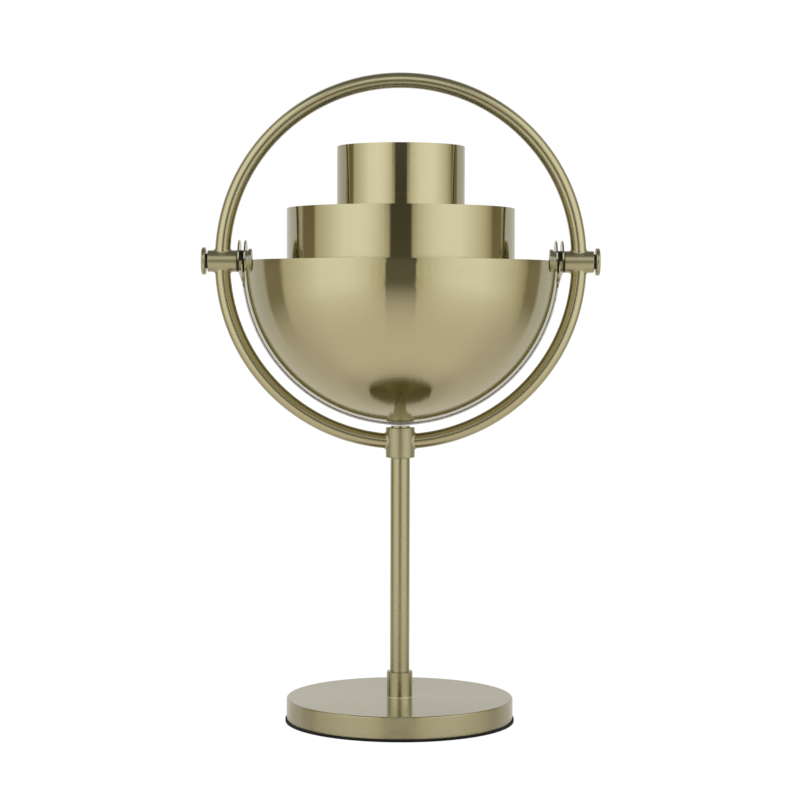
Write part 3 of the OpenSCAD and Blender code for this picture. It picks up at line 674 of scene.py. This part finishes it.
# %% Grow a grain
def grained(name, low, high, rough, scale, depth, metallic=0.0, **more):
    """A material whose colour, roughness and relief follow one grain: its darkest and its
    lightest colour, how rough it is at least, how many grains lie along a metre, and how
    deep they are."""
    material, tree = finish(name)
    grain = noise(tree, tree.place(), scale, detail=4.0)
    relief = tree.add("ShaderNodeBump", None, {"Strength": 0.6, "Distance": depth, "Height": grain})
    close(tree, tree.add("ShaderNodeBsdfPrincipled", None, {
        "Base Color": tree.mix(grain, low, high),
        "Metallic": metallic,
        "Roughness": grain * 0.15 + rough,
        "Normal": relief,
        **more,
    }))
    return material


zinc_steel = grained("zinc_steel", grey(0.42), grey(0.58), 0.25, 700, 0.00002, metallic=1.0)
cast_iron = grained("cast_iron", grey(0.03), grey(0.06), 0.6, 500, 0.0002)
bare_brass = grained("bare_brass", colour(190, 160, 95), colour(214, 184, 118), 0.2, 500, 0.00002,
                     metallic=1.0)
cap_metal = grained("cap_metal", grey(0.5), grey(0.6), 0.28, 600, 0.00002, metallic=1.0)
print("metals:", zinc_steel.name, cast_iron.name, bare_brass.name, cap_metal.name)

# %% Make the rubber, plastic, paint and glass
pad_rubber = grained("pad_rubber", grey(0.004), grey(0.009), 0.6, 1500, 0.00006, **{
    "Specular IOR Level": 0.2,
})
black_fibre = grained("black_fibre", grey(0.006), grey(0.012), 0.42, 1200, 0.00003)
black_phenolic = grained("black_phenolic", grey(0.01), grey(0.02), 0.22, 300, 0.00002)
natural_nylon = grained("natural_nylon", colour(222, 218, 205), colour(232, 229, 218), 0.4, 600, 0.00003)
white_paint = grained("white_paint", grey(0.78), grey(0.86), 0.36, 900, 0.00003)
lead_sheath = grained("lead_sheath", colour(214, 211, 202), colour(226, 223, 215), 0.42, 800, 0.00003)
opal_glass = grained("opal_glass", colour(238, 232, 220), colour(244, 240, 230), 0.12, 90, 0.00002, **{
    "Coat Weight": 0.5,
})
print("small finishes made,", len(bpy.data.materials), "materials in all")

# %% [markdown]
# ## Dress the parts
# Each part of the frame keeps its own shape, which is exact, and takes its finish here.

# %% Give every part its finish
def both(name):
    """The part on the left and the part on the right."""
    return [f"{name}_left", f"{name}_right"]


dress = [
    (base_brass, ["base_shell"]),
    (collar_brass, ["stem_collar"]),
    (turned_brass, ["hub_plug"]),
    (tube_brass, ["stem_tube"]),
    (hub_brass, ["ring_hub"]),
    (ring_brass, ["ring_arch", *both("ring_lower")]),
    (pivot_brass, [*both("pivot_boss"), *both("pivot_knob"), *both("arm")]),
    (shade_sheet, ["front_shade", "rear_shade"]),
    (cylinder_sheet, ["large_cylinder", "small_cylinder"]),
    (zinc_steel, ["base_cover", "cover_screws", "clamp_screws", "tie_washer", "tie_nut", "tie_tube",
                  *both("pivot_axle"), *both("arm_washer"), "carrier_screws", "arm_screws",
                  "holder_bridge", "holder_nipple", "holder_nut"]),
    (cast_iron, ["base_weight"]),
    (pad_rubber, ["base_pad", "cord_gland"]),
    (natural_nylon, ["cord_clamp", "terminal_block"]),
    (black_fibre, [*both("friction_washer"), *both("boss_washer"), *both("knob_spacer")]),
    (black_phenolic, ["lamp_holder"]),
    (bare_brass, ["contact_sleeve", "centre_contact"]),
    (cap_metal, ["bulb_cap"]),
    (opal_glass, ["bulb_glass"]),
    (white_paint, ["carrier_plate"]),
    (lead_sheath, ["inner_lead"]),
]
for material, names in dress:
    for name in names:
        slots = nodes[name].data.materials
        slots.clear()
        slots.append(material)
dressed = [name for _, names in dress for name in names]
print(len(dressed), "parts dressed, left bare:", sorted(set(nodes) - set(dressed)))

# %% [markdown]
# ## Brazed joints
# The ring's tubes are brazed to the two pivot bosses and to the hub. The brazing metal runs
# round each tube and leaves a small hollow fillet. A bevel can't make it, because tube and
# boss are separate parts. So the fillet is worked out: at every angle round the tube, a
# quarter of an ellipse leads from the boss's round side up to the tube. Across the boss,
# where its side falls away, the fillet is lower and narrower than along it.

# %% Work out a fillet round a tube
fillet_size = 0.0019
fillet_sides = 72
fillet_steps = 8
lower_across = 0.55
narrower_across = 0.35
hidden = 0.0003           # how far the fillet reaches into the metal on both sides


def fillet_loop(turn, carrier_radius):
    """The fillet's outline at one angle: (distance from the tube's middle, height over the axis)."""
    over_boss = math.sin(turn) ** 2
    rise = fillet_size * (1 - lower_across * over_boss)
    spread = fillet_size * (1 - narrower_across * over_boss)

    def saddle(distance):
        """The height of the boss's round side, this far from the tube's middle."""
        return math.sqrt(carrier_radius ** 2 - (distance * math.sin(turn)) ** 2)

    outline = []
    for step in range(fillet_steps + 1):
        bend = math.pi / 2 * step / fillet_steps
        distance = ring_tube_radius + spread * (1 - math.sin(bend))
        outline.append((distance, saddle(distance) + rise * (1 - math.cos(bend))))
    inner = ring_tube_radius - hidden
    outline.append((inner, saddle(inner) + rise))
    outline.append((inner, saddle(inner) - hidden))
    outline.append((ring_tube_radius + spread, saddle(ring_tube_radius + spread) - hidden))
    return outline


print("along the boss a fillet is", fillet_size * 1000, "mm wide")

# %% Braze the ring
def fillet(name, carrier_radius, place):
    """place turns (sideways along the carrier, across it, out along the tube) into a point."""
    loops = []
    for i in range(fillet_sides):
        turn = 2 * math.pi * i / fillet_sides
        loops.append([
            place(distance * math.cos(turn), distance * math.sin(turn), height)
            for distance, height in fillet_loop(turn, carrier_radius)
        ])
    joint = skin(name, loops, joined_up=True, material=pivot_brass)
    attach(joint, "frame")
    return joint


def bow(out):
    """How far the arc's middle line lies from its own middle, this far along its tangent."""
    return math.sqrt(ring_radius ** 2 - max(out, 0) ** 2)


def on_boss(side, lift):
    """Points round the arc that goes up (1) or down (-1) from the boss on one side."""
    def place(along, over, out):
        off_axis = bow(out + pivot_height - ring_high) + along
        return Vector((side * off_axis, over, pivot_height + lift * out))
    return place


def on_hub(side):
    """Points round the arc that leaves the hub on one side."""
    def place(along, over, out):
        return Vector((side * out, over, ring_low - bow(out) + along))
    return place


fillets = []
for side, word in ((-1, "left"), (1, "right")):
    for lift, part in ((1, "arch"), (-1, "lower")):
        fillets.append(fillet(f"brazing_{part}_{word}", boss_radius, on_boss(side, lift)))
    fillets.append(fillet(f"brazing_hub_{word}", hub_radius, on_hub(side)))
print(len(fillets), "brazed joints")

# %% [markdown]
# ## Inner lead
# One round white lead runs from the terminals up the stem, round the left half of the ring,
# in through the left axle and up into the lamp holder. The construction holds it as a
# faceted tube. Here it is swept again as a smooth one, along straight runs and round bends.

# %% Measure the lead's way
lead_radius = 0.0018
easy_bend = 0.006
tight_bend = 0.005
foot_bend = 0.004
bore_slack = 0.0016       # the lead lies low in the axle's bore
past_axle = 0.0025        # it comes this far out of the axle before it bends down
run_below_pivot = 0.033
lead_low, lead_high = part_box("inner_lead")
foot_z = lead_low.z + lead_radius
axle_z = pivot_height - bore_slack
run_z = pivot_height - run_below_pivot
out_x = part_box("pivot_axle_left")[1].x + past_axle
drop_x = out_x + tight_bend
hub_turn = math.degrees(math.asin(easy_bend / (ring_radius + easy_bend)))
hub_z = ring_low - (ring_radius + easy_bend) * math.cos(math.radians(hub_turn))
boss_angle = math.asin((ring_low - axle_z + tight_bend) / (ring_radius - tight_bend))
boss_x = -(ring_radius - tight_bend) * math.cos(boss_angle)
boss_turn = math.degrees(boss_angle)
print("the lead joins the ring", round(hub_turn, 2), "degrees from its lowest point")

# %% Lay out the lead's way
def foot_place(degrees):
    """A point on the bend at the stem's foot, where the lead turns from level to upright."""
    turn = math.radians(degrees)
    return Vector((0, foot_bend * (1 + math.cos(turn)), foot_z + foot_bend * (1 + math.sin(turn))))


def bend(x, z, radius, start, stop, steps=12):
    """Points round a bend in the ring's plane, in degrees, without its first point."""
    turns = [math.radians(start + (stop - start) * i / steps) for i in range(1, steps + 1)]
    return [Vector((x + radius * math.cos(a), 0, z + radius * math.sin(a))) for a in turns]


route = [Vector((0, lead_high.y, foot_z))]
route += [foot_place(degrees) for degrees in range(270, 170, -10)]
route += [Vector((0, 0, hub_z))]
route += bend(-easy_bend, hub_z, easy_bend, 0, 90 - hub_turn)
route += bend(0, ring_low, ring_radius, 270 - hub_turn, 180 + boss_turn, steps=48)
route += bend(boss_x, axle_z - tight_bend, tight_bend, 180 + boss_turn, 90)
route += [Vector((out_x, 0, axle_z))]
route += bend(out_x, axle_z - tight_bend, tight_bend, 90, 0)
route += [Vector((drop_x, 0, run_z + tight_bend))]
route += bend(drop_x + tight_bend, run_z + tight_bend, tight_bend, 180, 270)
route += [Vector((-easy_bend, 0, run_z))]
route += bend(-easy_bend, run_z + easy_bend, easy_bend, 270, 360)
route += [Vector((0, 0, lead_high.z))]
length = sum((b - a).length for a, b in zip(route, route[1:]))
print("lead", round(length, 3), "m long,", len(route), "places")

# %% Sweep the lead
lead_sides = 24
front_share = 0.001       # a way with no more front to back in it lies in the ring's plane


def round_section(place, along, radius, sides):
    """A circle of points round a place on the route, square to the way it goes."""
    in_plane = abs(along.y) <= front_share
    across_route = Vector((0, 1, 0)).cross(along) if in_plane else Vector((1, 0, 0))
    other = along.cross(across_route)
    turns = [2 * math.pi * i / sides for i in range(sides)]
    return [place + radius * (math.cos(a) * across_route + math.sin(a) * other) for a in turns]


loops = []
for i, place in enumerate(route):
    along = (route[min(i + 1, len(route) - 1)] - route[max(i - 1, 0)]).normalized()
    loops.append(round_section(place, along, lead_radius, lead_sides))
lead = skin("lead_in_lamp", loops, capped=True, material=lead_sheath)
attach(lead, "frame")
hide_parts("inner_lead")
print("the lead has", len(lead.data.polygons), "faces")

# %% [markdown]
# ## The end
# The finished lamp has to stay inside the box of its construction.
